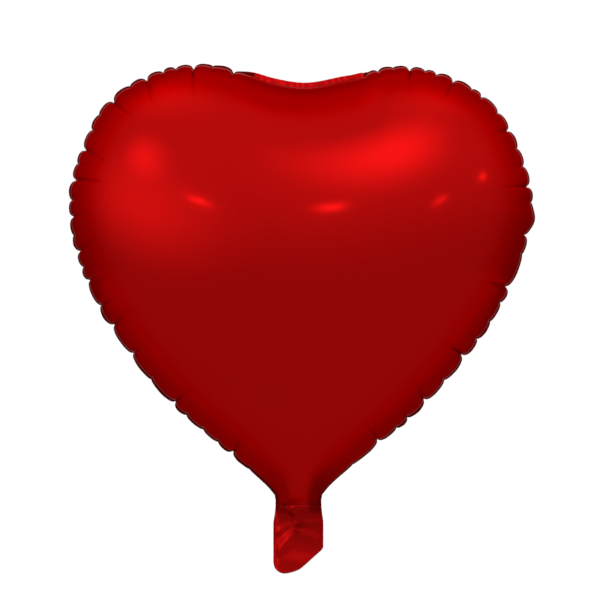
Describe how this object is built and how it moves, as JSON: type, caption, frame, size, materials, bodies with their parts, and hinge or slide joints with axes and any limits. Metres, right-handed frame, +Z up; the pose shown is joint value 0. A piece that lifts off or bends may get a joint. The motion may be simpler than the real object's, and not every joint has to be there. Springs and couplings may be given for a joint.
{
  "type": "foil balloon",
  "caption": "Inflated heart-shaped foil balloon: two domed sheets welded round the edge, with a self-sealing filling valve and a flat tail at the neck.",
  "frame": {"origin": "middle of the neck, where a ribbon is tied", "axes": "+Z up from the neck to the heart's lobes, -Y out of the front sheet, +X to the right seen from the front"},
  "size_m": [0.3626, 0.207, 0.3944],
  "materials": {
    "foil": "red metallised film, mirror-like, with fine crinkles along the welded edge",
    "valve_film": "thin clear film"
  },
  "bodies": {
    "envelope": {"front_panel": "foil", "rear_panel": "foil"},
    "tail": {"front_tail": "foil", "rear_tail": "foil", "valve_front_inlet": "valve_film", "valve_rear_inlet": "valve_film"},
    "front_lip": {"front_lip": "foil"},
    "rear_lip": {"rear_lip": "foil"},
    "valve_front": {"valve_front_flap": "valve_film"},
    "valve_rear": {"valve_rear_flap": "valve_film"}
  },
  "joints": [
    {"name": "tail_fold", "type": "hinge", "parent": "envelope", "child": "tail", "pos_m": [0, 0, -0.007], "axis": [1, 0, 0], "range_deg": [-90, 90]},
    {"name": "front_lip_peel", "type": "hinge", "parent": "tail", "child": "front_lip", "pos_m": [0, -0.00085, -0.035], "axis": [1, 0, 0], "range_deg": [-45, 0]},
    {"name": "rear_lip_peel", "type": "hinge", "parent": "tail", "child": "rear_lip", "pos_m": [0, 0.00085, -0.035], "axis": [1, 0, 0], "range_deg": [0, 45]},
    {"name": "valve_front_part", "type": "hinge", "parent": "envelope", "child": "valve_front", "pos_m": [0, -0.00025, -0.0045], "axis": [1, 0, 0], "range_deg": [0, 6], "stiffness_Nm_per_rad": 0.001},
    {"name": "valve_rear_part", "type": "hinge", "parent": "envelope", "child": "valve_rear", "pos_m": [0, 0.00025, -0.0045], "axis": [1, 0, 0], "range_deg": [-6, 0], "stiffness_Nm_per_rad": 0.001}
  ]
}
